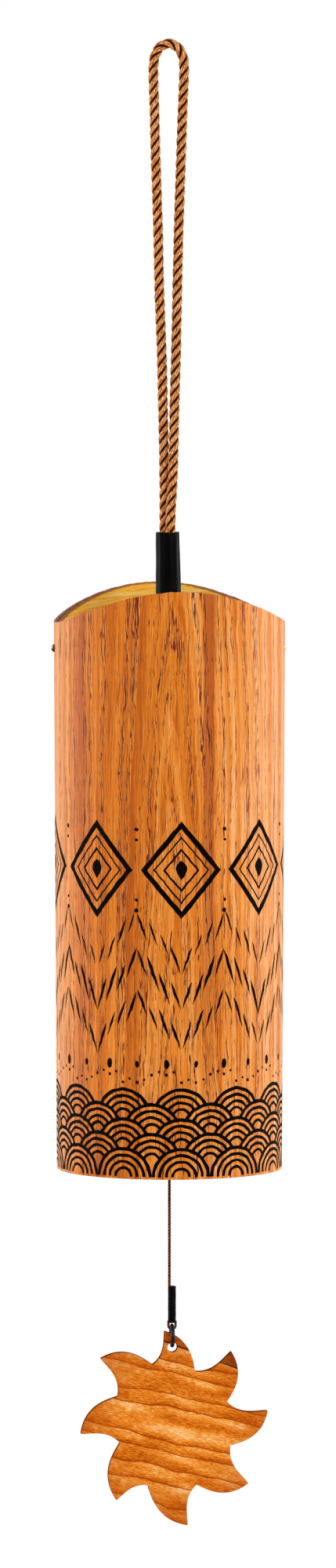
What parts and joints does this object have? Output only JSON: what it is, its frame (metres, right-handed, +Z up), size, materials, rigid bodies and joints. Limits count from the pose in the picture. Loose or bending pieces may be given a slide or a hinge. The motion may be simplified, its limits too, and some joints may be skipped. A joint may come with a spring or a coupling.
{
  "type": "hanging tube chime",
  "caption": "Wooden tube chime on a rope loop, with tuned rods on a plate inside, a clapper disc on a cord and a sun-shaped wooden wind sail below.",
  "frame": {"origin": "inside of the rope loop's crown, where a hook or a finger takes the weight", "axes": "+Z up along the hanging line, X along the crossbar, -Y towards the front"},
  "size_m": [0.0686, 0.0668, 0.4291],
  "materials": {
    "rope": "three-strand twisted rope of golden brown yarn, satin",
    "shrink_sleeve": "black shrink sleeve, half gloss",
    "veneer": "oiled oak veneer, upright grain with short dark pores, printed bands in black",
    "ply": "pale golden ply, level grain, dark scorched edge",
    "dowel": "plain beech dowel",
    "dark_pin": "blackened brass, worn bright in the middle of its head",
    "plate": "turned steel, fine rings",
    "resin": "clear amber resin",
    "rod": "drawn steel rod",
    "braze": "silver braze with a straw heat tint",
    "cord": "thin twisted brown cord",
    "disc": "turned hardwood disc, oiled",
    "black_ring": "black enamelled wire",
    "sail": "oiled cherry wood, sanded, slanting grain"
  },
  "bodies": {
    "hanger": {"hanging_rope": "rope", "rope_sleeve": "shrink_sleeve", "rope_bight": "rope"},
    "resonator": {"outer_veneer": "veneer", "inner_ply": "ply", "crossbar": "dowel", "crossbar_pin_left": "dark_pin", "crossbar_pin_right": "dark_pin", "plate_ring": "ply", "base_plate": "plate", "plate_bond": "resin", "chime_rod_1": "rod", "chime_rod_2": "rod", "chime_rod_3": "rod", "chime_rod_4": "rod", "chime_rod_5": "rod", "chime_rod_6": "rod", "chime_rod_7": "rod", "chime_rod_8": "rod", "braze_fillets": "braze"},
    "yoke": {"clapper_yoke": "cord"},
    "clapper": {"clapper_cord": "cord", "clapper_disc": "disc", "clapper_knot": "cord"},
    "bend": {"cord_bend": "cord"},
    "tail": {"tail_cord": "cord"},
    "tail_end": {"tail_sleeve": "shrink_sleeve", "tail_loop": "cord"},
    "link": {"link_ring": "black_ring"},
    "sail": {"wind_sail": "sail"}
  },
  "joints": [
    {"name": "tube_rock", "type": "hinge", "parent": "hanger", "child": "resonator", "pos_m": [0, 0, -0.1717], "axis": [1, 0, 0], "range_deg": [-45, 45]},
    {"name": "clapper_swing_x", "type": "hinge", "parent": "resonator", "child": "yoke", "pos_m": [0, 0, -0.1717], "axis": [1, 0, 0], "range_deg": [-2.1, 2.1]},
    {"name": "clapper_swing_y", "type": "hinge", "parent": "yoke", "child": "clapper", "pos_m": [0, 0, -0.1822], "axis": [0, 1, 0], "range_deg": [-2.3, 2.3]},
    {"name": "tail_swing_x", "type": "hinge", "parent": "clapper", "child": "bend", "pos_m": [0, 0, -0.31485], "axis": [1, 0, 0], "range_deg": [-25, 25]},
    {"name": "tail_swing_y", "type": "hinge", "parent": "bend", "child": "tail", "pos_m": [0, 0, -0.31735], "axis": [0, 1, 0], "range_deg": [-25, 25]},
    {"name": "tail_turn", "type": "hinge", "parent": "tail", "child": "tail_end", "pos_m": [0, 0, -0.3567], "axis": [0, 0, 1], "continuous": true},
    {"name": "ring_swing", "type": "hinge", "parent": "tail_end", "child": "link", "pos_m": [0.00075, 0, -0.3692], "axis": [1, 0, 0], "range_deg": [-20, 20]},
    {"name": "sail_swing", "type": "hinge", "parent": "link", "child": "sail", "pos_m": [0.00075, 0, -0.37395], "axis": [0, 1, 0], "range_deg": [-30, 12]}
  ]
}
